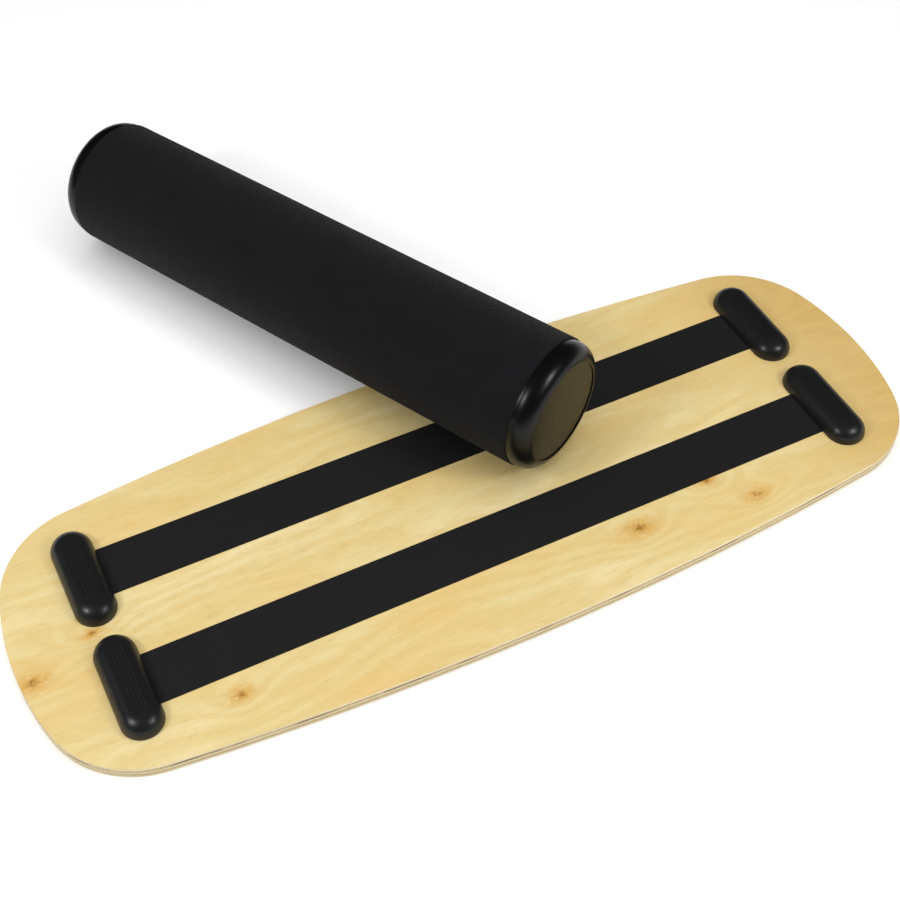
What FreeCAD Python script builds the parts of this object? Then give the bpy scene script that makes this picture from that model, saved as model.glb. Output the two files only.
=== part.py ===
import FreeCAD, Part
import math
import os

from FreeCAD import Placement, Rotation, Vector

# Roller balance board: a plywood deck that rocks and rolls on a loose roller.
# Millimetres, +Z up. The deck lies with its standing face down on the floor and its
# track side up, and the roller leans across it. The origin is the centre of the
# standing face, X runs along the deck and Y across it.

# Deck: glued veneers of one outline, bowed sides, bowed ends and round corners.
DECK_LENGTH = 800.0
DECK_WIDTH = 294.0
SIDE_BULGE = 28.0
END_BULGE = 47.0
CORNER_RADIUS = 84.0
PLY_COUNT = 5
PLY_THICKNESS = 2.4
EDGE_ROUND = 1.0

# Track strips: one under each row, from stop to stop.
ROW_OFFSET = 55.5
STRIP_WIDTH = 48.0
STRIP_THICKNESS = 0.6
STRIP_END_GAP = 0.05

# Stops: four moulded bars with domed ends across the ends of the strips.
STOP_OFFSET = 324.0
STOP_LENGTH = 96.5
STOP_WIDTH = 35.0
STOP_HEIGHT = 14.0
STOP_WALL = 0.5
STOP_ROUND_RUN = 13.0

# Ribbed insert that covers the screws in each stop.
RECESS_LENGTH = 62.0
RECESS_WIDTH = 14.4
RECESS_DEPTH = 2.4
RECESS_CORNER = 1.2
INSERT_GAP = 0.25
RIB_COUNT = 5
RIB_WIDTH = 1.5
RIB_HEIGHT = 0.7

# Countersunk wood screws, two to a stop, each with a cover of wood left under its tip.
SCREW_SPACING = 40.0
SCREW_COVER = 3.6
SHANK_RADIUS = 1.75
HEAD_RADIUS = 3.6
TIP_LENGTH = 3.0
STOP_HOLE_GAP = 0.2
DRIVE_SLOT_LENGTH = 4.0
DRIVE_SLOT_WIDTH = 0.9
DRIVE_SLOT_DEPTH = 1.1

# Roller: a pipe in a fabric sleeve, with a moulded cap pressed into each end.
TUBE_RADIUS = 55.0
TUBE_WALL = 3.2
TUBE_LENGTH = 500.0
SLEEVE_THICKNESS = 4.0
CAP_STEP = 1.3
CAP_BAND = 1.5
CAP_DEPTH = 18.5
CAP_FACE_RADIUS = 45.0
CAP_RIM_WIDTH = 1.4
CAP_RIM_DEPTH = 0.9
CAP_WALL = 2.8
SPIGOT_LENGTH = 22.0

# Where the roller lies: turned from the X axis, its near end over the deck's middle.
ROLLER_TURN = 116.4
ROLLER_NEAR_X = 73.0
ROLLER_NEAR_Y = 9.5
LAY_GAP = 0.3

# Worked out from the sizes above.
DECK_THICKNESS = PLY_COUNT * PLY_THICKNESS
STOP_TOP = DECK_THICKNESS + STOP_HEIGHT
RECESS_FLOOR = STOP_TOP - RECESS_DEPTH
SLEEVE_RADIUS = TUBE_RADIUS + SLEEVE_THICKNESS
BORE_RADIUS = TUBE_RADIUS - TUBE_WALL
SCREW_LENGTH = RECESS_FLOOR - SCREW_COVER

UP = Vector(0, 0, 1)


def arc(start, middle, end):
    return Part.Arc(start, middle, end).toShape()


def line(start, end):
    return Part.LineSegment(start, end).toShape()


def on_circle(centre, radius, angle):
    return centre + Vector(radius * math.cos(angle), radius * math.sin(angle), 0)


def angle_from(centre, point):
    return math.atan2(point.y - centre.y, point.x - centre.x)


def deck_arcs():
    """Centres, radii and corner centre of the arcs in the deck's first quarter."""
    half_length = DECK_LENGTH / 2
    half_width = DECK_WIDTH / 2
    side_radius = (half_length ** 2 + SIDE_BULGE ** 2) / (2 * SIDE_BULGE)
    end_radius = (half_width ** 2 + END_BULGE ** 2) / (2 * END_BULGE)
    side_centre = Vector(0, half_width - side_radius, 0)
    end_centre = Vector(half_length - end_radius, 0, 0)
    # The corner arc touches both others from inside, so its centre is nearer to each
    # centre than their radii by its own radius.
    to_side = side_radius - CORNER_RADIUS
    to_end = end_radius - CORNER_RADIUS
    apart = end_centre - side_centre
    gap = apart.Length
    along = (to_side ** 2 - to_end ** 2 + gap ** 2) / (2 * gap)
    across = math.sqrt(to_side ** 2 - along ** 2)
    unit = apart * (1 / gap)
    normal = Vector(-unit.y, unit.x, 0)
    choices = [side_centre + unit * along + normal * sign * across for sign in (1, -1)]
    corner_centre = max(choices, key=lambda point: point.x + point.y)
    return side_centre, side_radius, end_centre, end_radius, corner_centre


def deck_face(height):
    """The deck's outline as a face: eight tangent arcs."""
    side_centre, side_radius, end_centre, end_radius, corner_centre = deck_arcs()
    end_angle = angle_from(end_centre, corner_centre)
    side_angle = angle_from(side_centre, corner_centre)
    end_join = on_circle(end_centre, end_radius, end_angle)
    corner_mid = on_circle(corner_centre, CORNER_RADIUS, (end_angle + side_angle) / 2)
    side_join = on_circle(side_centre, side_radius, side_angle)

    def mirrored(point, x_sign, y_sign):
        return Vector(x_sign * point.x, y_sign * point.y, height)

    end_tip = Vector(DECK_LENGTH / 2, 0, 0)
    side_tip = Vector(0, DECK_WIDTH / 2, 0)
    edges = []
    for x_sign, y_sign in ((1, 1), (-1, 1), (-1, -1), (1, -1)):
        low = mirrored(end_join, x_sign, y_sign)
        middle = mirrored(corner_mid, x_sign, y_sign)
        high = mirrored(side_join, x_sign, y_sign)
        edges.append(arc(low, middle, high))
    for sign in (1, -1):
        front = mirrored(end_join, sign, -1)
        back = mirrored(end_join, sign, 1)
        edges.append(arc(front, mirrored(end_tip, sign, 1), back))
        left = mirrored(side_join, -1, sign)
        right = mirrored(side_join, 1, sign)
        edges.append(arc(left, mirrored(side_tip, 1, sign), right))
    return Part.Face(Part.Wire(Part.__sortEdges__(edges)))


def make_deck_plies(screws):
    """The veneers from the standing face up. The outer two have their edge rounded."""
    plies = []
    for index in range(PLY_COUNT):
        base = index * PLY_THICKNESS
        ply = deck_face(base).extrude(UP * PLY_THICKNESS)
        outer_height = {0: 0.0, PLY_COUNT - 1: DECK_THICKNESS}.get(index)
        if outer_height is not None:
            rim = [edge for edge in ply.Edges
                   if edge.BoundBox.ZLength < 1e-6 and abs(edge.BoundBox.ZMin - outer_height) < 1e-6]
            ply = ply.makeFillet(EDGE_ROUND, rim)
        if any(screw.BoundBox.ZMin < base + PLY_THICKNESS for screw in screws):
            ply = ply.cut(screws)
        plies.append(ply)
    return plies


def make_strip(row_y):
    reach = STOP_OFFSET - STOP_WIDTH / 2 - STRIP_END_GAP
    corner = Vector(-reach, row_y - STRIP_WIDTH / 2, DECK_THICKNESS)
    return Part.makeBox(2 * reach, STRIP_WIDTH, STRIP_THICKNESS, corner)


def rounded_plate(length_y, width_x, corner, base, height):
    """An upright-edged plate, long in Y, centred on the Z axis."""
    plate = Part.makeBox(width_x, length_y, height, Vector(-width_x / 2, -length_y / 2, base))
    uprights = [edge for edge in plate.Edges if edge.BoundBox.ZLength > height / 2]
    return plate.makeFillet(corner, uprights)


def stop_blank():
    """A bar with half-round ends, its edge rounded to the top along a quarter ellipse."""
    half = STOP_WIDTH / 2
    straight = STOP_LENGTH / 2 - half
    flat = half - STOP_ROUND_RUN
    rise = STOP_HEIGHT - STOP_WALL
    shoulder = Vector(flat, 0, DECK_THICKNESS + STOP_WALL)

    def profile(sign):
        foot = Vector(sign * half, 0, DECK_THICKNESS)
        wall_top = Vector(sign * half, 0, DECK_THICKNESS + STOP_WALL)
        top = Vector(sign * flat, 0, STOP_TOP)
        centre = Vector(sign * shoulder.x, 0, shoulder.z)
        if rise >= STOP_ROUND_RUN:
            ellipse = Part.Ellipse(top, wall_top, centre)
        else:
            ellipse = Part.Ellipse(wall_top, top, centre)
        ends = sorted([ellipse.parameter(wall_top), ellipse.parameter(top)])
        if ends[1] - ends[0] > math.pi:
            ends = [ends[1], ends[0] + 2 * math.pi]
        return line(foot, wall_top), Part.ArcOfEllipse(ellipse, *ends).toShape(), top, foot

    wall_right, round_right, top_right, foot_right = profile(1)
    wall_left, round_left, top_left, foot_left = profile(-1)
    section = Part.Face(Part.Wire(Part.__sortEdges__(
        [wall_right, round_right, line(top_right, top_left), round_left, wall_left,
         line(foot_left, foot_right)])))
    bar = section.translated(Vector(0, -straight, 0)).extrude(Vector(0, 2 * straight, 0))
    foot_centre = Vector(0, 0, DECK_THICKNESS)
    top_centre = Vector(0, 0, STOP_TOP)
    half_section = Part.Face(Part.Wire(Part.__sortEdges__(
        [wall_right, round_right, line(top_right, top_centre), line(top_centre, foot_centre),
         line(foot_centre, foot_right)])))
    for sign in (1, -1):
        end = half_section.revolve(Vector(0, 0, 0), UP, 180 * sign)
        bar = bar.fuse(end.translated(Vector(0, sign * straight, 0)))
    return bar.removeSplitter()


def screw_places():
    return [Vector(0, sign * SCREW_SPACING / 2, 0) for sign in (1, -1)]


def make_screw():
    """A countersunk screw on the Z axis, its head level with the recess floor."""
    head_depth = HEAD_RADIUS - SHANK_RADIUS
    shank_length = SCREW_LENGTH - head_depth - TIP_LENGTH
    shank = Part.makeCylinder(SHANK_RADIUS, shank_length, Vector(0, 0, SCREW_COVER + TIP_LENGTH))
    point = Part.makeCone(0, SHANK_RADIUS, TIP_LENGTH, Vector(0, 0, SCREW_COVER))
    head = Part.makeCone(SHANK_RADIUS, HEAD_RADIUS, head_depth, Vector(0, 0, RECESS_FLOOR - head_depth))
    screw = shank.fuse([point, head])
    for size_x, size_y in ((DRIVE_SLOT_LENGTH, DRIVE_SLOT_WIDTH), (DRIVE_SLOT_WIDTH, DRIVE_SLOT_LENGTH)):
        corner = Vector(-size_x / 2, -size_y / 2, RECESS_FLOOR - DRIVE_SLOT_DEPTH)
        screw = screw.cut(Part.makeBox(size_x, size_y, DRIVE_SLOT_DEPTH, corner))
    return screw


def make_stop_body():
    body = stop_blank()
    recess = rounded_plate(RECESS_LENGTH, RECESS_WIDTH, RECESS_CORNER, RECESS_FLOOR, 2 * RECESS_DEPTH)
    cuts = [recess]
    head_depth = HEAD_RADIUS - SHANK_RADIUS
    hole_radius = SHANK_RADIUS + STOP_HOLE_GAP
    seat_radius = HEAD_RADIUS + STOP_HOLE_GAP
    for place in screw_places():
        through = Part.makeCylinder(hole_radius, STOP_HEIGHT, Vector(place.x, place.y, DECK_THICKNESS))
        seat_base = Vector(place.x, place.y, RECESS_FLOOR - head_depth)
        seat = Part.makeCone(hole_radius, seat_radius, head_depth, seat_base)
        cuts += [through, seat]
    return body.cut(cuts)


def make_insert():
    """A ribbed strip that fills the stop's recess, its ribs level with the stop's top."""
    length = RECESS_LENGTH - 2 * INSERT_GAP
    width = RECESS_WIDTH - 2 * INSERT_GAP
    insert = rounded_plate(length, width, RECESS_CORNER - INSERT_GAP, RECESS_FLOOR, RECESS_DEPTH)
    groove_count = RIB_COUNT - 1
    groove_width = (width - RIB_COUNT * RIB_WIDTH) / groove_count
    for index in range(groove_count):
        left = -width / 2 + RIB_WIDTH + index * (RIB_WIDTH + groove_width)
        corner = Vector(left, -length / 2 + RIB_WIDTH, STOP_TOP - RIB_HEIGHT)
        insert = insert.cut(Part.makeBox(groove_width, length - 2 * RIB_WIDTH, RIB_HEIGHT, corner))
    return insert


def make_tube():
    """The pipe, along +X from its near end."""
    outer = Part.makeCylinder(TUBE_RADIUS, TUBE_LENGTH, Vector(0, 0, 0), Vector(1, 0, 0))
    return outer.cut(Part.makeCylinder(BORE_RADIUS, TUBE_LENGTH, Vector(0, 0, 0), Vector(1, 0, 0)))


def make_sleeve():
    outer = Part.makeCylinder(SLEEVE_RADIUS, TUBE_LENGTH, Vector(0, 0, 0), Vector(1, 0, 0))
    return outer.cut(Part.makeCylinder(TUBE_RADIUS, TUBE_LENGTH, Vector(0, 0, 0), Vector(1, 0, 0)))


def make_cap():
    """A hollow plug on the X axis. It faces -X, and its flange seats on the pipe's end at x = 0."""
    band_radius = SLEEVE_RADIUS - CAP_STEP
    rim_radius = CAP_FACE_RADIUS + CAP_RIM_WIDTH
    face = CAP_RIM_DEPTH - CAP_DEPTH
    hollow_radius = BORE_RADIUS - CAP_WALL
    hollow_end = face + CAP_WALL

    def at(x, radius):
        return Vector(x, 0, radius)

    # The shoulder is a quarter round from the band to the rim, through its 45 degree point.
    turn = math.sin(math.pi / 4)
    shoulder = at(-CAP_BAND - (CAP_DEPTH - CAP_BAND) * turn, rim_radius + (band_radius - rim_radius) * turn)
    outline = [
        at(-CAP_BAND, band_radius),
        at(0, band_radius),
        at(0, BORE_RADIUS),
        at(SPIGOT_LENGTH, BORE_RADIUS),
        at(SPIGOT_LENGTH, hollow_radius),
        at(-CAP_BAND, hollow_radius),
        at(hollow_end, CAP_FACE_RADIUS - CAP_WALL),
        at(hollow_end, 0),
        at(face, 0),
        at(face, CAP_FACE_RADIUS),
        at(-CAP_DEPTH, CAP_FACE_RADIUS),
        at(-CAP_DEPTH, rim_radius),
    ]
    edges = [line(start, end) for start, end in zip(outline, outline[1:])]
    edges.append(arc(outline[-1], shoulder, outline[0]))
    return Part.Face(Part.Wire(edges)).revolve(Vector(0, 0, 0), Vector(1, 0, 0), 360)


def roller_placement():
    """The roller leans on the deck's back top edge, with the far end of its sleeve on the floor."""
    side_centre, side_radius = deck_arcs()[:2]
    turn = math.radians(ROLLER_TURN)
    heading = Vector(math.cos(turn), math.sin(turn), 0)
    near = Vector(ROLLER_NEAR_X, ROLLER_NEAR_Y, 0)
    # Plan distance from the near end to where the roller crosses the deck's back edge.
    offset = near - side_centre
    half_term = offset.dot(heading)
    to_edge = -half_term + math.sqrt(half_term ** 2 - offset.dot(offset) + side_radius ** 2)
    # The lean that clears the edge by the gap, found by repeated substitution.
    lean = 0.0
    for _ in range(30):
        across = math.cos(lean) * heading.y
        skew = math.hypot(math.sin(lean), across) / across
        rise = DECK_THICKNESS + (SLEEVE_RADIUS + LAY_GAP) * skew - SLEEVE_RADIUS * math.cos(lean)
        lean = math.asin(rise / (TUBE_LENGTH - to_edge / math.cos(lean)))
    near.z = TUBE_LENGTH * math.sin(lean) + SLEEVE_RADIUS * math.cos(lean)
    return Placement(near, Rotation(UP, ROLLER_TURN) * Rotation(Vector(0, 1, 0), math.degrees(lean)))


def write_parts():
    nodes = {}
    rows = {"back": ROW_OFFSET, "front": -ROW_OFFSET}
    sides = {"left": -STOP_OFFSET, "right": STOP_OFFSET}
    screws = []
    for row, row_y in rows.items():
        nodes["track_strip_" + row] = make_strip(row_y)
        for side, side_x in sides.items():
            place = Vector(side_x, row_y, 0)
            nodes["stop_{}_{}".format(row, side)] = make_stop_body().translated(place)
            nodes["stop_insert_{}_{}".format(row, side)] = make_insert().translated(place)
            screws += [make_screw().translated(place + spot) for spot in screw_places()]
    nodes["stop_screws"] = Part.makeCompound(screws)
    for index, ply in enumerate(make_deck_plies(screws)):
        nodes["deck_ply_{}".format(index + 1)] = ply

    far_end = Placement(Vector(TUBE_LENGTH, 0, 0), Rotation(UP, 180))
    roller = {
        "roller_tube": make_tube(),
        "roller_sleeve": make_sleeve(),
        "roller_cap_near": make_cap(),
        "roller_cap_far": make_cap().transformed(far_end.toMatrix()),
    }
    for name, shape in roller.items():
        nodes[name] = shape.transformed(roller_placement().toMatrix())

    os.makedirs("parts", exist_ok=True)
    for name, shape in nodes.items():
        shape.exportStep("parts/{}.step".format(name))
        print("{:26s} {:10.0f} mm3, {} solids".format(name, shape.Volume, len(shape.Solids)))


write_parts()
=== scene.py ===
import math

import bmesh
import bpy
import numpy as np
from mathutils import Matrix, Vector


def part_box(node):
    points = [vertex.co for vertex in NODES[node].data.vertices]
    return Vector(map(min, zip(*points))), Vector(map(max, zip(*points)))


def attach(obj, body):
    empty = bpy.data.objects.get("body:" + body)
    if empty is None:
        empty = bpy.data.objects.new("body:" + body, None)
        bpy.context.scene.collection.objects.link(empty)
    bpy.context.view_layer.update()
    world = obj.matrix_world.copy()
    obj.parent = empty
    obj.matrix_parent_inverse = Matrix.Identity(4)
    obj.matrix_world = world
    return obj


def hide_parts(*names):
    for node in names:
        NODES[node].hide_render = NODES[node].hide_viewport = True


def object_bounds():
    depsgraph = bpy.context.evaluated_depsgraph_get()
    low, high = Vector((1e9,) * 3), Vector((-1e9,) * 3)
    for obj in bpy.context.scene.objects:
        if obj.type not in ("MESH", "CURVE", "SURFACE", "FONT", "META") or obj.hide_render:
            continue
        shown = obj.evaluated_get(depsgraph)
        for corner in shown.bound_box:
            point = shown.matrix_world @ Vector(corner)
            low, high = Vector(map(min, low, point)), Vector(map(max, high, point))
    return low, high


bl_info = {
    "name": "Roller Balance Board",
    "version": (1, 0, 0),
    "blender": (4, 5, 0),
    "location": "3D View > Sidebar > Balance Board",
    "description": "Finishes a plywood balance board and its fabric-sleeved roller",
    "category": "Object",
}

# Everything is in metres in the frame's own axes: X along the deck, Y across it, Z up.
MM = 0.001

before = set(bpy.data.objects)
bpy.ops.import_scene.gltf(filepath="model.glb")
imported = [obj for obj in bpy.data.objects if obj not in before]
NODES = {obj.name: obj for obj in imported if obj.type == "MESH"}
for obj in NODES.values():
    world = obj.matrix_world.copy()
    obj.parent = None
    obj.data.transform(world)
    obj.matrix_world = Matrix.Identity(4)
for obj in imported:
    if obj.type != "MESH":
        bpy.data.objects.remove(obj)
CAD_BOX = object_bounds()

STRIPS = ["track_strip_back", "track_strip_front"]
CORNERS = ["back_left", "back_right", "front_left", "front_right"]
CAPS = ["roller_cap_near", "roller_cap_far"]

# Kinds of shader node, by their short names.
MATH = "ShaderNodeMath"
VECTOR = "ShaderNodeVectorMath"
SPLIT = "ShaderNodeSeparateXYZ"
JOIN = "ShaderNodeCombineXYZ"
PLACE = "ShaderNodeTexCoord"
GEOMETRY = "ShaderNodeNewGeometry"
NOISE = "ShaderNodeTexNoise"
CELLS = "ShaderNodeTexVoronoi"
RAMP = "ShaderNodeValToRGB"
RANGE = "ShaderNodeMapRange"
MIX = "ShaderNodeMix"
BUMP = "ShaderNodeBump"
MAPPING = "ShaderNodeMapping"
SHADER = "ShaderNodeBsdfPrincipled"
OUTPUT = "ShaderNodeOutputMaterial"

# Knots in the top veneer: distance along and across the deck from its centre, and the
# size of the dark core, all in millimetres.
KNOTS = (
    (107, -98, 3.4),
    (215, -112, 2.6),
    (184, -81, 2.2),
    (-249, -99, 2.4),
    (-389, -19, 3.0),
    (-334, 4, 2.0),
)
# How far a knot bends the growth rings along and across the board.
KNOT_REACH = (26 * MM, 15 * MM)

# How deep the blasted mould's grain is in a stop and in a stop's insert.
STOP_GRAIN = 0.11 * MM
INSERT_GRAIN = 0.2 * MM

# The sleeve's mesh: steps round it, along it and round each rolled edge, and how far the foam
# lets the fabric sink.
AROUND = 256
LONG_STEPS = 100
HEM_STEPS = 8
FOAM_GIVE = 0.05 * MM

# The point on the floor that the camera looks at, a little left of the deck's centre and behind
# it, and the shift that sets the object in the middle of the frame.
CAMERA_AIM = (-0.0325, 0.0742, 0.0)
CAMERA_SHIFT = (0.0579, 0.0007)
SENSOR_WIDTH = 36.0

# Half the side of the square of paper on the floor, and how far it lies below the object.
FLOOR_HALF = 6.0
FLOOR_DROP = 0.2 * MM


def vertices_of(name):
    """The corners of a frame node as an array, in metres."""
    mesh = NODES[name].data
    flat = np.zeros(len(mesh.vertices) * 3)
    mesh.vertices.foreach_get("co", flat)
    return np.unique(flat.reshape(-1, 3).round(7), axis=0)


def measure_roller():
    """The sleeve's placement with local X along its axis, its length and its two radii."""
    points = vertices_of("roller_sleeve")
    centre = points.mean(axis=0)
    axis = np.linalg.svd(points - centre, full_matrices=False)[2][0]
    # Each pass straightens the axis through the middles of the sleeve's two ends.
    for _ in range(3):
        along = (points - centre) @ axis
        first = points[along < 0].mean(axis=0)
        last = points[along > 0].mean(axis=0)
        axis = (last - first) / np.linalg.norm(last - first)
        centre = (first + last) / 2
    if axis[1] < 0:
        axis = -axis
    along = (points - centre) @ axis
    radius = np.linalg.norm(points - centre - along[:, None] * axis, axis=1)
    local_x = Vector(axis)
    local_y = Vector((0, 0, 1)).cross(local_x).normalized()
    local_z = local_x.cross(local_y)
    turn = Matrix((local_x, local_y, local_z)).transposed().to_4x4()
    place = Matrix.Translation(Vector(centre)) @ turn
    return place, float(np.ptp(along)), float(radius.min()), float(radius.max())


ROLLER_PLACE, SLEEVE_LENGTH, SLEEVE_INNER, SLEEVE_OUTER = measure_roller()


def linear(code):
    """An sRGB hex colour as linear RGBA."""
    out = []
    for place in (0, 2, 4):
        value = int(code[place:place + 2], 16) / 255
        out.append(value / 12.92 if value <= 0.04045 else ((value + 0.055) / 1.055) ** 2.4)
    return (*out, 1.0)


def add(tree, kind, inputs=None, stops=None, **settings):
    """Adds one node with its settings, then fills its inputs, given by name or number.

    An input is a value, a socket, or a node whose first output in use is linked. stops gives a
    ramp's positions and colours.
    """
    node = tree.nodes.new(kind)
    for name, value in settings.items():
        setattr(node, name, value)
    for name, value in (inputs or {}).items():
        if isinstance(value, bpy.types.Node):
            value = next(output for output in value.outputs if output.enabled)
        if isinstance(value, bpy.types.NodeSocket):
            tree.links.new(value, node.inputs[name])
        else:
            node.inputs[name].default_value = value
    if stops:
        ramp = node.color_ramp.elements
        while len(ramp) < len(stops):
            ramp.new(1.0)
        for element, (position, colour) in zip(ramp, stops):
            element.position = position
            element.color = colour
    return node


def new_material(name):
    """An empty node material."""
    material = bpy.data.materials.new(name)
    material.use_nodes = True
    material.node_tree.nodes.clear()
    return material, material.node_tree


# Plywood


def fibres(tree, place, along, across, up=None, detail=3.0, roughness=0.5, distortion=0.0):
    """Streaks of wood fibre of a length, width and height in millimetres. Without a height they
    go straight down through the ply."""
    scale = (1 / (along * MM), 1 / (across * MM), 1 / (up * MM) if up else 0.0)
    scaled = add(tree, VECTOR, {0: place, 1: scale}, operation="MULTIPLY")
    return add(tree, NOISE, {"Vector": scaled, "Scale": 1.0, "Detail": detail,
                             "Roughness": roughness, "Distortion": distortion})


def knot_spot(tree, place, centre, along, across):
    """A bell-shaped spot, 1 at its centre, that fades over a distance along and across."""
    away = add(tree, VECTOR, {0: place, 1: centre}, operation="SUBTRACT")
    scale = (1 / along, 1 / across, 0.0)
    scaled = add(tree, VECTOR, {0: away, 1: scale}, operation="MULTIPLY")
    distance = add(tree, VECTOR, {0: scaled}, operation="LENGTH")
    square = add(tree, MATH, {0: distance, 1: 2.0}, operation="POWER")
    fall = add(tree, MATH, {0: square, 1: -1.0}, operation="MULTIPLY")
    return add(tree, MATH, {0: fall}, operation="EXPONENT")


def edge_colours(tree, place, ply, along_x, colours, hollows=False):
    """The colour of a ply's cut edge: long fibres or end grain, glue lines and hollows."""
    low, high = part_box(ply)
    middle = (low[2] + high[2]) / 2
    half = (high[2] - low[2]) / 2
    height = add(tree, SPLIT, {0: place}).outputs["Z"]
    above = add(tree, MATH, {0: height, 1: middle}, operation="SUBTRACT")
    off = add(tree, MATH, {0: above}, operation="ABSOLUTE")
    # Fibres show as streaks 0.7 mm high, and as pores 1 mm across. Real ones are about 0.1 mm,
    # drawn this coarse so that they show.
    streaks = fibres(tree, place, 28, 28, 0.7, detail=4.0)
    pores = fibres(tree, place, 1.1, 1.1, 0.8, detail=2.0)
    side = add(tree, RAMP, {"Fac": streaks},
               stops=((0.3, colours["edge_dark"]), (0.65, colours["edge_light"])))
    ends = add(tree, RAMP, {"Fac": pores},
               stops=((0.32, colours["end_dark"]), (0.62, colours["end_light"])))
    # End grain shows where the edge faces the way that the fibres run.
    faces = add(tree, SPLIT, {0: add(tree, GEOMETRY).outputs["Normal"]})
    facing = faces.outputs["X" if along_x else "Y"]
    end_grain = add(tree, MATH, {0: facing, 1: facing}, operation="MULTIPLY")
    colour = add(tree, MIX, {0: end_grain, 6: side, 7: ends}, data_type="RGBA")
    # A glue line is 0.1 mm thick, half of it in each ply, and drawn 0.5 mm, so that it shows.
    line = add(tree, RANGE, {"Value": off, "From Min": half - 0.35 * MM,
                             "From Max": half - 0.05 * MM, "To Max": 0.75})
    colour = add(tree, MIX, {0: line, 6: colour, 7: colours["glue"]}, data_type="RGBA")
    if hollows:
        # Hollows are dark slots that come and go along the edge, 0.9 mm up from the ply's base.
        # Their dark colour is painted shade, standing for the shade inside each gap.
        runs = fibres(tree, place, 50, 50, detail=2.0)
        gap = add(tree, RANGE, {"Value": runs, "From Min": 0.50, "From Max": 0.58},
                  interpolation_type="SMOOTHSTEP")
        above = add(tree, MATH, {0: height, 1: low[2] + 0.9 * MM}, operation="SUBTRACT")
        off = add(tree, MATH, {0: above}, operation="ABSOLUTE")
        slot = add(tree, RANGE, {"Value": off, "From Min": 0.3 * MM, "From Max": 0.9 * MM,
                                 "To Min": 1.0, "To Max": 0.0})
        hollow = add(tree, MATH, {0: gap, 1: slot}, operation="MULTIPLY")
        colour = add(tree, MIX, {0: hollow, 6: colour, 7: colours["hollow"]}, data_type="RGBA")
    return colour


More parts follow.
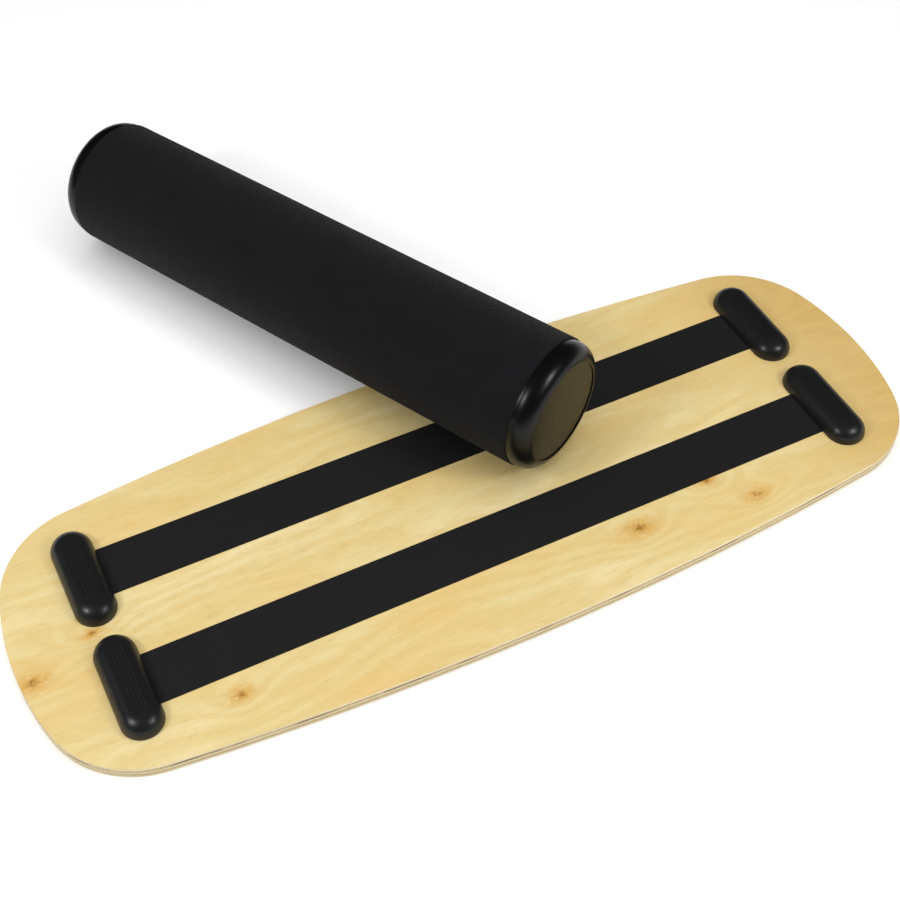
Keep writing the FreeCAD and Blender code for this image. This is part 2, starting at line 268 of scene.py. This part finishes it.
def face_veneer(name, colours, ply, knots, shift):
    """Rotary-cut birch face veneer, sanded and sealed with a clear satin varnish.

    The cut peels through the growth rings, so the figure is the contour lines of a gently
    rolling surface: long wavy bands along the board that close into eyes round each knot.
    The varnish warms the wood and gives it a soft, broad shine.
    """
    material, tree = new_material(name)
    deck_place = add(tree, PLACE).outputs["Object"]
    edge = edge_colours(tree, deck_place, ply, True, colours)
    place = add(tree, VECTOR, {0: deck_place, 1: shift}, operation="ADD")
    across = add(tree, SPLIT, {0: place}).outputs["Y"]

    # A band about every 22 mm across the board, bent by slow waves 300 mm long.
    waves = fibres(tree, place, 300, 90, detail=2.5)
    bend = add(tree, MATH, {0: waves, 1: 7.5}, operation="MULTIPLY")
    rings = add(tree, MATH, {0: across, 1: 1 / (22 * MM), 2: bend}, operation="MULTIPLY_ADD")
    halo = 0.0
    core = 0.0
    # A knot's stain and its core are both drawn out along the board, in proportion to its size.
    for along, over, size in knots:
        centre = (along * MM + shift[0], over * MM + shift[1], 0.0)
        eye = knot_spot(tree, place, centre, *KNOT_REACH)
        rings = add(tree, MATH, {0: eye, 1: 2.0, 2: rings}, operation="MULTIPLY_ADD")
        stain = knot_spot(tree, place, centre, size * 4.8 * MM, size * 2.8 * MM)
        halo = add(tree, MATH, {0: stain, 1: halo}, operation="MAXIMUM")
        dark = knot_spot(tree, place, centre, size * 1.3 * MM, size * 1.0 * MM)
        core = add(tree, MATH, {0: dark, 1: core}, operation="MAXIMUM")
    turn = add(tree, MATH, {0: rings, 1: 2 * math.pi}, operation="MULTIPLY")
    wide = add(tree, MATH, {0: turn}, operation="SINE")
    bands = add(tree, MATH, {0: wide, 1: 0.5, 2: 0.5}, operation="MULTIPLY_ADD")
    fine_turn = add(tree, MATH, {0: turn, 1: 3.3}, operation="MULTIPLY")
    fine = add(tree, MATH, {0: fine_turn}, operation="SINE")
    bands = add(tree, MATH, {0: fine, 1: 0.16, 2: bands}, operation="MULTIPLY_ADD")

    clouds = fibres(tree, place, 250, 66, detail=4.0, roughness=0.6)
    tone = add(tree, RAMP, {"Fac": clouds},
               stops=((0.34, colours["warm"]), (0.5, colours["body"]), (0.68, colours["pale"])))
    # The veneer turns darker and warmer towards the board's right end.
    along = add(tree, SPLIT, {0: deck_place}).outputs["X"]
    rightward = add(tree, RANGE, {"Value": along, "From Min": 220 * MM, "From Max": 400 * MM,
                               "To Max": 0.8}, interpolation_type="SMOOTHSTEP")
    tone = add(tree, MIX, {0: rightward, 6: tone, 7: colours["heart"]}, data_type="RGBA")
    # Late wood in the outermost ring leaves a few faint reddish streaks.
    late = fibres(tree, place, 160, 13, distortion=0.4)
    late = add(tree, RANGE, {"Value": late, "From Min": 0.54, "From Max": 0.72, "To Max": 0.26},
               interpolation_type="SMOOTHSTEP")
    tone = add(tree, MIX, {0: late, 6: tone, 7: colours["late"]}, data_type="RGBA")
    mottle = fibres(tree, place, 14, 5.2, detail=5.0, roughness=0.7)
    weight = add(tree, MATH, {0: mottle, 1: 0.9, 2: -0.3}, operation="MULTIPLY_ADD")
    weight = add(tree, MATH, {0: bands, 1: 0.36, 2: weight}, operation="MULTIPLY_ADD",
                 use_clamp=True)
    banded = add(tree, MIX, {0: weight, 6: tone, 7: colours["band"]}, data_type="RGBA")

    # Vessels are 0.1 mm wide and drawn 0.7 mm wide, so that they show.
    vessels = fibres(tree, place, 18, 0.7, detail=2.0, roughness=0.6)
    lines = add(tree, RANGE, {"Value": vessels, "From Min": 0.50, "From Max": 0.75,
                              "To Max": 0.32}, interpolation_type="SMOOTHSTEP")
    grained = add(tree, MIX, {0: lines, 6: banded, 7: colours["vessel"]}, data_type="RGBA")

    # Fibres swirl round a knot, so its stain is ragged and its core is a few dark slivers.
    ragged = fibres(tree, place, 6.5, 4.0, detail=5.0, roughness=0.65, distortion=1.4)
    torn = add(tree, MATH, {0: ragged, 1: 4.0, 2: -1.1}, operation="MULTIPLY_ADD")
    stained = add(tree, MATH, {0: halo, 1: torn}, operation="MULTIPLY", use_clamp=True)
    split = add(tree, MATH, {0: ragged, 1: 4.2, 2: -1.35}, operation="MULTIPLY_ADD")
    slivers = add(tree, MATH, {0: core, 1: split}, operation="MULTIPLY", use_clamp=True)
    knotted = add(tree, MIX, {0: stained, 6: grained, 7: colours["halo"]}, data_type="RGBA")
    knotted = add(tree, MIX, {0: slivers, 6: knotted, 7: colours["core"]}, data_type="RGBA")

    # The upright edge shows the ply's cut, and the flat face shows the figure.
    normal = add(tree, GEOMETRY).outputs["Normal"]
    level = add(tree, MATH, {0: add(tree, SPLIT, {0: normal}).outputs["Z"]}, operation="ABSOLUTE")
    upright = add(tree, RANGE, {"Value": level, "From Min": 0.45, "From Max": 0.85,
                                "To Min": 1.0, "To Max": 0.0}, interpolation_type="SMOOTHSTEP")
    colour = add(tree, MIX, {0: upright, 6: knotted, 7: edge}, data_type="RGBA")
    relief = add(tree, BUMP, {"Height": vessels, "Distance": 0.05 * MM, "Strength": 0.35})
    shader = add(tree, SHADER, {"Base Color": colour, "Normal": relief, "Roughness": 0.44,
                                "IOR": 1.5, "Coat Weight": 0.12, "Coat Roughness": 0.24})
    add(tree, OUTPUT, {"Surface": shader})
    return material


def inner_veneer(name, colours, ply, along_x, hollows=False):
    """A core or cross veneer of birch, seen only as the deck's sawn and sanded edge.

    Long-grain layers look smooth and pale there. Cross layers show end grain, which drinks
    varnish and turns darker, and here and there a gap where two pieces don't meet, drawn as a
    dark slot of painted shade.
    """
    material, tree = new_material(name)
    place = add(tree, PLACE).outputs["Object"]
    colour = edge_colours(tree, place, ply, along_x, colours, hollows)
    saw_marks = fibres(tree, place, 1.4, 1.4, 0.9)
    relief = add(tree, BUMP, {"Height": saw_marks, "Distance": 0.08 * MM, "Strength": 0.4})
    shader = add(tree, SHADER, {"Base Color": colour, "Normal": relief, "Roughness": 0.55,
                                "IOR": 1.5})
    add(tree, OUTPUT, {"Surface": shader})
    return material


# Black parts


def vinyl_track(name, colour):
    """Calendered black vinyl tape. Rolling leaves a very fine leather-like emboss, so it shines
    softly and evenly."""
    material, tree = new_material(name)
    place = add(tree, PLACE).outputs["Object"]
    # The emboss is about 0.3 mm across and drawn 1.1 mm across, so that it shows.
    emboss = add(tree, CELLS, {"Vector": place, "Scale": 1 / (1.1 * MM)}, feature="SMOOTH_F1")
    drift = add(tree, NOISE, {"Vector": place, "Scale": 1 / (25 * MM), "Detail": 3.0})
    rough = add(tree, RANGE, {"Value": drift, "To Min": 0.40, "To Max": 0.54})
    relief = add(tree, BUMP, {"Height": emboss, "Distance": 0.06 * MM, "Strength": 0.35})
    shader = add(tree, SHADER, {"Base Color": colour, "Roughness": rough, "Normal": relief,
                                "IOR": 1.5, "Specular IOR Level": 0.3})
    add(tree, OUTPUT, {"Surface": shader})
    return material


def moulded_rubber(name, colour, shine, relief_depth):
    """Compression-moulded black rubber. The mould is blasted, so the surface has a fine grain and
    a soft sheen that breaks up at the edge of each highlight."""
    material, tree = new_material(name)
    place = add(tree, PLACE).outputs["Object"]
    # Blasting grit is about 0.2 mm and drawn 0.8 mm, so that it shows.
    grit = add(tree, NOISE, {"Vector": place, "Scale": 1 / (0.8 * MM), "Detail": 2.0})
    bloom = add(tree, NOISE, {"Vector": place, "Scale": 1 / (22 * MM), "Detail": 4.0})
    rough = add(tree, RANGE, {"Value": bloom, "To Min": shine - 0.05, "To Max": shine + 0.08})
    relief = add(tree, BUMP, {"Height": grit, "Distance": relief_depth, "Strength": 0.6})
    shader = add(tree, SHADER, {"Base Color": colour, "Roughness": rough, "Normal": relief,
                                "IOR": 1.52, "Specular IOR Level": 0.42})
    add(tree, OUTPUT, {"Surface": shader})
    return material


def satin_abs(name, colour):
    """Injection-moulded black ABS from a lightly blasted mould. It gives broad soft highlights,
    with faint rubbed marks round the roller's axis."""
    material, tree = new_material(name)
    place = add(tree, PLACE).outputs["Object"]
    local = add(tree, MAPPING, {"Vector": place, "Location": ROLLER_PLACE.translation,
                                "Rotation": ROLLER_PLACE.to_euler()}, vector_type="TEXTURE")
    parts = add(tree, SPLIT, {0: local})
    turn = add(tree, MATH, {0: parts.outputs["Z"], 1: parts.outputs["Y"]}, operation="ARCTAN2")
    out = add(tree, JOIN, {1: parts.outputs["Y"], 2: parts.outputs["Z"]})
    radius = add(tree, VECTOR, {0: out}, operation="LENGTH")
    slow_turn = add(tree, MATH, {0: turn, 1: 0.003}, operation="MULTIPLY")
    rubbed = add(tree, JOIN, {0: parts.outputs["X"], 1: radius, 2: slow_turn})
    # Rub marks are 0.1 mm wide and drawn 0.7 mm wide, so that they show.
    marks = add(tree, NOISE, {"Vector": rubbed, "Scale": 1 / (0.7 * MM), "Detail": 3.0})
    rough = add(tree, RANGE, {"Value": marks, "From Min": 0.35, "From Max": 0.75,
                              "To Min": 0.27, "To Max": 0.36})
    relief = add(tree, BUMP, {"Height": marks, "Distance": 0.005 * MM, "Strength": 0.1})
    shader = add(tree, SHADER, {"Base Color": colour, "Roughness": rough, "Normal": relief,
                                "IOR": 1.5, "Specular IOR Level": 0.25})
    add(tree, OUTPUT, {"Surface": shader})
    return material


def knitted_polyester(name, colour, stitch_highlight_colour, stitch_width):
    """Tight knitted polyester over foam. The stitches scatter light, so the fabric is matte with a
    faint pale sheen where it turns away."""
    material, tree = new_material(name)
    place = add(tree, PLACE).outputs["Object"]
    parts = add(tree, SPLIT, {0: place})
    turn = add(tree, MATH, {0: parts.outputs["Z"], 1: parts.outputs["Y"]}, operation="ARCTAN2")
    # Each column is a row of V-shaped stitches. Their legs slant one way in one half of it and
    # the other way in the other half, and the yarn swells in the middle of each leg.
    columns = round(2 * math.pi * SLEEVE_OUTER / stitch_width)
    wale = add(tree, MATH, {0: turn, 1: columns / (2 * math.pi)}, operation="MULTIPLY")
    leg = add(tree, MATH, {0: wale, 1: 0.5}, operation="PINGPONG")
    slanted = add(tree, MATH, {0: parts.outputs["X"], 1: 1.25 / stitch_width, 2: leg},
                  operation="MULTIPLY_ADD")
    loop_turn = add(tree, MATH, {0: slanted, 1: 2 * math.pi}, operation="MULTIPLY")
    loops = add(tree, MATH, {0: loop_turn}, operation="SINE")
    ridge_turn = add(tree, MATH, {0: leg, 1: 2 * math.pi}, operation="MULTIPLY")
    ridge = add(tree, MATH, {0: ridge_turn}, operation="SINE")
    ridge = add(tree, MATH, {0: ridge, 1: 0.5}, operation="MULTIPLY")
    height = add(tree, MATH, {0: loops, 1: 0.3, 2: ridge}, operation="MULTIPLY_ADD")
    fuzz = add(tree, NOISE, {"Vector": place, "Scale": 1 / (1.1 * MM), "Detail": 3.0})
    height = add(tree, MATH, {0: fuzz, 1: 0.6, 2: height}, operation="MULTIPLY_ADD")
    # The colour follows the stitch height: tops are painted paler as a painted highlight, the dips
    # between them darker as painted shade, and slow noise varies this at random.
    wear = add(tree, NOISE, {"Vector": place, "Scale": 1 / (25 * MM), "Detail": 4.0})
    wear_and_highlight = add(tree, MATH, {0: height, 1: wear}, operation="ADD")
    highlight_weight = add(tree, MATH, {0: wear_and_highlight, 1: 0.45}, operation="MULTIPLY", use_clamp=True)
    knit = add(tree, MIX, {0: highlight_weight, 6: colour, 7: stitch_highlight_colour}, data_type="RGBA")
    relief = add(tree, BUMP, {"Height": height, "Distance": 0.4 * MM, "Strength": 1.0})
    shader = add(tree, SHADER, {"Base Color": knit, "Normal": relief, "Roughness": 0.92,
                                "IOR": 1.45, "Specular IOR Level": 0.2, "Sheen Weight": 0.03,
                                "Sheen Roughness": 0.5})
    add(tree, OUTPUT, {"Surface": shader})
    return material


def zinc_plate(name, colour):
    """Bright zinc plating on a rolled screw: a grey metal with a fine dull grain."""
    material, tree = new_material(name)
    place = add(tree, PLACE).outputs["Object"]
    grain = add(tree, NOISE, {"Vector": place, "Scale": 1 / (0.8 * MM), "Detail": 3.0})
    rough = add(tree, RANGE, {"Value": grain, "To Min": 0.28, "To Max": 0.45})
    shader = add(tree, SHADER, {"Base Color": colour, "Roughness": rough, "Metallic": 1.0})
    add(tree, OUTPUT, {"Surface": shader})
    return material


def extruded_pipe(name, colour):
    """Extruded grey PVC pipe, with a faintly uneven low sheen."""
    material, tree = new_material(name)
    place = add(tree, PLACE).outputs["Object"]
    grain = add(tree, NOISE, {"Vector": place, "Scale": 1 / (3.3 * MM), "Detail": 3.0})
    rough = add(tree, RANGE, {"Value": grain, "To Min": 0.38, "To Max": 0.55})
    shader = add(tree, SHADER, {"Base Color": colour, "Roughness": rough, "IOR": 1.53})
    add(tree, OUTPUT, {"Surface": shader})
    return material


def matte_paper(name, colour):
    """Pale seamless paper: fully matte, with the faintest mottling."""
    material, tree = new_material(name)
    place = add(tree, PLACE).outputs["Object"]
    # The mottling is about 330 mm across and at most 1.5 percent darker.
    mottle = add(tree, NOISE, {"Vector": place, "Scale": 3.0})
    darker = (*[part * 0.985 for part in colour[:3]], 1.0)
    paper = add(tree, MIX, {0: mottle, 6: colour, 7: darker}, data_type="RGBA")
    shader = add(tree, SHADER, {"Base Color": paper, "Roughness": 0.95,
                                "Specular IOR Level": 0.1})
    add(tree, OUTPUT, {"Surface": shader})
    return material


def finish_node(name, material):
    """Gives a frame node its material."""
    node = NODES[name]
    node.data.materials.clear()
    node.data.materials.append(material)


def sleeve_mesh(hem_radius):
    """The sleeve as a closed tube about local X, with its outer edges rolled at both ends."""
    half = SLEEVE_LENGTH / 2
    profile = []
    for step in range(HEM_STEPS + 1):
        angle = math.pi / 2 * step / HEM_STEPS
        profile.append((-half + hem_radius * (1 - math.sin(angle)),
                        SLEEVE_OUTER - hem_radius * (1 - math.cos(angle))))
    profile.reverse()
    start = -half + hem_radius
    straight = SLEEVE_LENGTH - 2 * hem_radius
    for step in range(1, LONG_STEPS):
        profile.append((start + straight * step / LONG_STEPS, SLEEVE_OUTER))
    for along, radius in reversed(profile[:HEM_STEPS + 1]):
        profile.append((-along, radius))
    profile.append((half, SLEEVE_INNER))
    profile.append((-half, SLEEVE_INNER))

    build = bmesh.new()
    rings = []
    for along, radius in profile:
        ring = []
        for step in range(AROUND):
            angle = 2 * math.pi * step / AROUND
            # The foam gives a little, so the fabric lies up to 0.1 mm low in slow waves, three
            # round the sleeve, that twist along it.
            give = FOAM_GIVE * (1 + math.sin(3 * angle + 19 * along) * math.cos(41 * along))
            lie = radius - give if radius > SLEEVE_OUTER - 2 * hem_radius else radius
            ring.append(build.verts.new((along, lie * math.cos(angle), lie * math.sin(angle))))
        rings.append(ring)
    for number, ring in enumerate(rings):
        after = rings[(number + 1) % len(rings)]
        for step in range(AROUND):
            ahead = (step + 1) % AROUND
            build.faces.new((ring[step], ring[ahead], after[ahead], after[step]))
    bmesh.ops.recalc_face_normals(build, faces=build.faces)
    mesh = bpy.data.meshes.new("sleeve_knit")
    build.to_mesh(mesh)
    build.free()
    mesh.polygons.foreach_set("use_smooth", [True] * len(mesh.polygons))
    return mesh


# Sizes and colours that a user would change


def colour_setting(name, description, code):
    """A colour property whose default is an sRGB hex value."""
    return bpy.props.FloatVectorProperty(
        name=name, description=description, default=linear(code), size=4, min=0.0, max=1.0,
        subtype="COLOR")


def angle_setting(name, description, degrees):
    """An angle property whose default is in degrees."""
    return bpy.props.FloatProperty(
        name=name, description=description, default=math.radians(degrees), subtype="ANGLE")


class WoodSettings(bpy.types.PropertyGroup):
    """Colours of the plywood."""
    body: colour_setting("Body", "Main colour of the face veneer", "D8C68E")
    pale: colour_setting("Pale", "Palest part of the face veneer", "E2D2A2")
    warm: colour_setting("Warm", "Warmest part of the face veneer", "D9BB7B")
    # The darker, warmer tone that the face veneer takes towards the board's right end.
    heart: colour_setting("Heart", "Face veneer cut nearer to the heart", "BD9750")
    band: colour_setting("Band", "Growth bands", "CFB16C")
    late: colour_setting("Late wood", "Faint reddish streaks", "D3B072")
    vessel: colour_setting("Vessel", "Fine vessel lines", "AA8B50")
    halo: colour_setting("Knot halo", "Stain round a knot", "C79845")
    core: colour_setting("Knot core", "Slivers at the middle of a knot", "8E6224")
    edge_light: colour_setting("Edge light", "Pale fibres on the edge", "E6DAB4")
    edge_dark: colour_setting("Edge dark", "Darker fibres on the edge", "D2C092")
    end_light: colour_setting("End grain light", "Pale end grain", "CDB788")
    end_dark: colour_setting("End grain dark", "Dark end grain", "A48A5C")
    glue: colour_setting("Glue", "Glue lines between the veneers", "8C6A3C")
    # The dark slot colour on a cross veneer's edge is painted shade, for the gaps behind it.
    hollow: colour_setting("Hollow", "Inside of a hollow in a cross veneer", "4A2A10")

    def colours(self):
        """Every colour by its name."""
        return {name: tuple(getattr(self, name)) for name in self.__annotations__}


class BlackPartSettings(bpy.types.PropertyGroup):
    """Colours and finishes of the track strips, stops, caps and hidden parts."""
    tape: colour_setting("Track tape", "Vinyl of the track strips", "1C1C1C")
    rubber: colour_setting("Rubber", "Rubber of the stops and inserts", "18191A")
    rubber_roughness: bpy.props.FloatProperty(
        name="Rubber roughness", description="Roughness of the stops", default=0.33, min=0.05,
        max=0.8, subtype="FACTOR")
    cap: colour_setting("Cap", "Plastic of the end caps", "090A0A")
    zinc: colour_setting("Zinc", "Plating of the screws", "B9BBB8")
    pipe: colour_setting("Pipe", "Plastic of the pipe", "8C8D8F")


class SleeveSettings(bpy.types.PropertyGroup):
    """Size and colours of the fabric sleeve."""
    hem_radius: bpy.props.FloatProperty(
        name="Hem radius", description="Radius of the rolled edge at each end",
        default=1.3 * MM, min=0.3 * MM, max=1.9 * MM, unit="LENGTH", precision=5)
    stitch_width: bpy.props.FloatProperty(
        name="Stitch width",
        description="Width of one knitted column. Real ones are about 1 mm, drawn coarser to show",
        default=2.0 * MM, min=0.5 * MM, max=5 * MM, unit="LENGTH", precision=5)
    colour: colour_setting("Colour", "Fabric between the stitches", "08080A")
    # The stitch-top colour is a painted highlight on the raised stitches.
    stitch_highlight_colour: colour_setting("Stitch tops", "Fabric on top of the stitches", "19191C")


class StageSettings(bpy.types.PropertyGroup):
    """Floor, lights and camera."""
    floor: colour_setting("Floor", "Seamless paper", "FAFAFA")
    azimuth: angle_setting("Azimuth", "Turn of the camera about Z from looking along +Y", 25.33)
    elevation: angle_setting("Elevation", "How far the camera looks down", 50.47)
    roll: angle_setting("Roll", "Tilt of the camera about its own axis", -0.69)
    distance: bpy.props.FloatProperty(
        name="Distance", description="From the camera to the floor along its axis",
        default=1.2623, unit="LENGTH")
    lens: bpy.props.FloatProperty(
        name="Focal length", description="Of the camera, on a 36 mm wide sensor",
        default=57.45, subtype="DISTANCE_CAMERA")
    left_azimuth: angle_setting("Left softbox", "Direction of the left softbox from +X", 182)
    right_azimuth: angle_setting("Right softbox", "Direction of the right softbox from +X", -50)
    softbox_elevation: angle_setting("Softbox elevation", "Height angle of both softboxes", 42)
    softbox_distance: bpy.props.FloatProperty(
        name="Softbox distance", description="From the middle of the floor", default=1.7,
        unit="LENGTH")
    softbox_size: bpy.props.FloatProperty(
        name="Softbox size", description="Side of each square softbox", default=0.36,
        unit="LENGTH")
    softbox_power: bpy.props.FloatProperty(
        name="Softbox power", description="Of each of the two softboxes", default=8.6, min=0.0,
        unit="POWER")
    fill_height: bpy.props.FloatProperty(
        name="Fill height", description="Of the overhead fill above the floor", default=2.2,
        unit="LENGTH")
    fill_size: bpy.props.FloatProperty(
        name="Fill size", description="Side of the overhead fill", default=3.0, unit="LENGTH")
    fill_power: bpy.props.FloatProperty(
        name="Fill power", description="Of the overhead fill, which gives light but no highlight",
        default=37.0, min=0.0, unit="POWER")
    air: bpy.props.FloatProperty(
        name="Air", description="Strength of the even light from all round", default=0.42,
        min=0.0)


class BoardSettings(bpy.types.PropertyGroup):
    """All settings of the balance board."""
    wood: bpy.props.PointerProperty(
        type=WoodSettings, name="Wood", description="Plywood colours")
    black: bpy.props.PointerProperty(
        type=BlackPartSettings, name="Black parts", description="Strips, stops and caps")
    sleeve: bpy.props.PointerProperty(
        type=SleeveSettings, name="Sleeve", description="Fabric sleeve")
    stage: bpy.props.PointerProperty(
        type=StageSettings, name="Stage", description="Floor, lights and camera")


class BOARD_OT_finish_deck(bpy.types.Operator):
    """Varnish the plywood deck and show its layers at the edge"""
    bl_idname = "board.finish_deck"
    bl_label = "Finish Deck"

    def execute(self, context):
        colours = context.scene.board.wood.colours()
        finish_node("deck_ply_1", face_veneer(
            "birch_back_veneer_varnished", colours, "deck_ply_1", (), (1.7, 0.9, 0.0)))
        finish_node("deck_ply_2", inner_veneer(
            "birch_lower_cross_veneer", colours, "deck_ply_2", False))
        finish_node("deck_ply_3", inner_veneer(
            "birch_core_veneer", colours, "deck_ply_3", True))
        finish_node("deck_ply_4", inner_veneer(
            "birch_upper_cross_veneer", colours, "deck_ply_4", False, hollows=True))
        finish_node("deck_ply_5", face_veneer(
            "birch_face_veneer_varnished", colours, "deck_ply_5", KNOTS, (0.0, 0.0, 0.0)))
        return {"FINISHED"}


class BOARD_OT_finish_strips(bpy.types.Operator):
    """Give the two track strips their black vinyl"""
    bl_idname = "board.finish_strips"
    bl_label = "Finish Track Strips"

    def execute(self, context):
        vinyl = vinyl_track("vinyl_tape_calendered", context.scene.board.black.tape)
        for name in STRIPS:
            finish_node(name, vinyl)
        return {"FINISHED"}


class BOARD_OT_finish_stops(bpy.types.Operator):
    """Give the four stops, their inserts and their screws their finishes"""
    bl_idname = "board.finish_stops"
    bl_label = "Finish Stops"

    def execute(self, context):
        black = context.scene.board.black
        rubber = moulded_rubber(
            "rubber_moulded_satin", black.rubber, black.rubber_roughness, STOP_GRAIN)
        ribbed = moulded_rubber(
            "rubber_moulded_ribbed", black.rubber, black.rubber_roughness + 0.12, INSERT_GRAIN)
        for corner in CORNERS:
            finish_node("stop_" + corner, rubber)
            finish_node("stop_insert_" + corner, ribbed)
        finish_node("stop_screws", zinc_plate("zinc_plated_steel", black.zinc))
        return {"FINISHED"}


class BOARD_OT_build_sleeve(bpy.types.Operator):
    """Build the knitted sleeve over the roller's pipe"""
    bl_idname = "board.build_sleeve"
    bl_label = "Build Sleeve"

    def execute(self, context):
        settings = context.scene.board.sleeve
        sleeve = bpy.data.objects.new("knitted_sleeve", sleeve_mesh(settings.hem_radius))
        context.scene.collection.objects.link(sleeve)
        sleeve.matrix_world = ROLLER_PLACE
        sleeve.data.materials.append(knitted_polyester(
            "polyester_knit_over_foam", settings.colour, settings.stitch_highlight_colour,
            settings.stitch_width))
        context.view_layer.update()
        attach(sleeve, "roller")
        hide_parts("roller_sleeve")
        return {"FINISHED"}


class BOARD_OT_finish_roller(bpy.types.Operator):
    """Give the roller's caps and pipe their finishes"""
    bl_idname = "board.finish_roller"
    bl_label = "Finish Roller"

    def execute(self, context):
        black = context.scene.board.black
        satin = satin_abs("abs_moulded_satin", black.cap)
        for name in CAPS:
            finish_node(name, satin)
        finish_node("roller_tube", extruded_pipe("pvc_pipe_extruded", black.pipe))
        return {"FINISHED"}


class BOARD_OT_set_stage(bpy.types.Operator):
    """Lay the floor and place the lights and the camera"""
    bl_idname = "board.set_stage"
    bl_label = "Set Stage"

    def execute(self, context):
        stage = context.scene.board.stage
        low, high = CAD_BOX
        middle = Vector(((low[0] + high[0]) / 2, (low[1] + high[1]) / 2, 0.0))
        lay_floor(context, middle, low[2], stage.floor)
        for name, azimuth in (("softbox_left", stage.left_azimuth),
                              ("softbox_right", stage.right_azimuth)):
            place = direction(azimuth, stage.softbox_elevation) * stage.softbox_distance
            add_softbox(context, name, place, stage.softbox_size, stage.softbox_power)
        fill = add_softbox(context, "overhead_fill", Vector((0.0, 0.0, stage.fill_height)),
                           stage.fill_size, stage.fill_power)
        fill.visible_glossy = False
        world = bpy.data.worlds.new("studio_air")
        context.scene.world = world
        world.use_nodes = True
        background = world.node_tree.nodes["Background"]
        background.inputs["Color"].default_value = linear("FFFFFF")
        background.inputs["Strength"].default_value = stage.air
        world.cycles_visibility.glossy = False
        context.scene.view_settings.view_transform = "Standard"
        context.scene.camera = place_camera(context, stage)
        return {"FINISHED"}


def direction(azimuth, elevation):
    """A unit vector at azimuth about Z from +X, and elevation above the floor."""
    level = math.cos(elevation)
    return Vector((math.cos(azimuth) * level, math.sin(azimuth) * level, math.sin(elevation)))


def lay_floor(context, middle, height, colour):
    """Seamless paper 12 m square, a hair below the lowest point of the object."""
    mesh = bpy.data.meshes.new("studio_floor")
    corners = [(middle.x + x * FLOOR_HALF, middle.y + y * FLOOR_HALF, height - FLOOR_DROP)
               for x, y in ((-1, -1), (1, -1), (1, 1), (-1, 1))]
    mesh.from_pydata(corners, [], [(0, 1, 2, 3)])
    mesh.materials.append(matte_paper("seamless_paper", colour))
    floor = bpy.data.objects.new("studio_floor", mesh)
    context.scene.collection.objects.link(floor)


def add_softbox(context, name, place, size, power):
    """A square soft light at place, in metres from the frame's origin, that faces the deck."""
    light = bpy.data.lights.new(name, "AREA")
    light.shape = "SQUARE"
    light.size = size
    light.energy = power
    holder = bpy.data.objects.new(name, light)
    holder.location = place
    holder.rotation_euler = (-place).to_track_quat("-Z", "Y").to_euler()
    context.scene.collection.objects.link(holder)
    return holder


def place_camera(context, stage):
    """A camera that looks down at the aim point from the stage's angles and distance."""
    level = math.cos(stage.elevation)
    forward = Vector((math.sin(stage.azimuth) * level, math.cos(stage.azimuth) * level,
                      -math.sin(stage.elevation)))
    right = Vector((math.cos(stage.azimuth), -math.sin(stage.azimuth), 0.0))
    up = right.cross(forward)
    turned_right = math.cos(stage.roll) * right + math.sin(stage.roll) * up
    turned_up = math.cos(stage.roll) * up - math.sin(stage.roll) * right
    lens = bpy.data.cameras.new("camera")
    lens.lens = stage.lens
    lens.sensor_width = SENSOR_WIDTH
    lens.shift_x, lens.shift_y = CAMERA_SHIFT
    camera = bpy.data.objects.new("camera", lens)
    turn = Matrix((turned_right, turned_up, -forward)).transposed().to_4x4()
    place = Vector(CAMERA_AIM) - forward * stage.distance
    camera.matrix_world = Matrix.Translation(place) @ turn
    context.scene.collection.objects.link(camera)
    return camera


class BOARD_PT_panel(bpy.types.Panel):
    """Lists the steps that finish the balance board"""
    bl_idname = "BOARD_PT_panel"
    bl_label = "Balance Board"
    bl_space_type = "VIEW_3D"
    bl_region_type = "UI"
    bl_category = "Balance Board"

    def draw(self, context):
        for step in STEPS:
            self.layout.operator(step.bl_idname)


STEPS = (BOARD_OT_finish_deck, BOARD_OT_finish_strips, BOARD_OT_finish_stops,
         BOARD_OT_build_sleeve, BOARD_OT_finish_roller, BOARD_OT_set_stage)
CLASSES = (WoodSettings, BlackPartSettings, SleeveSettings, StageSettings, BoardSettings,
           *STEPS, BOARD_PT_panel)


def register():
    for kind in CLASSES:
        bpy.utils.register_class(kind)
    bpy.types.Scene.board = bpy.props.PointerProperty(type=BoardSettings)


def unregister():
    del bpy.types.Scene.board
    for kind in reversed(CLASSES):
        bpy.utils.unregister_class(kind)


def main():
    """Runs every step of the add-on."""
    register()
    bpy.ops.board.finish_deck()
    bpy.ops.board.finish_strips()
    bpy.ops.board.finish_stops()
    bpy.ops.board.build_sleeve()
    bpy.ops.board.finish_roller()
    bpy.ops.board.set_stage()


if __name__ == "__main__":
    main()
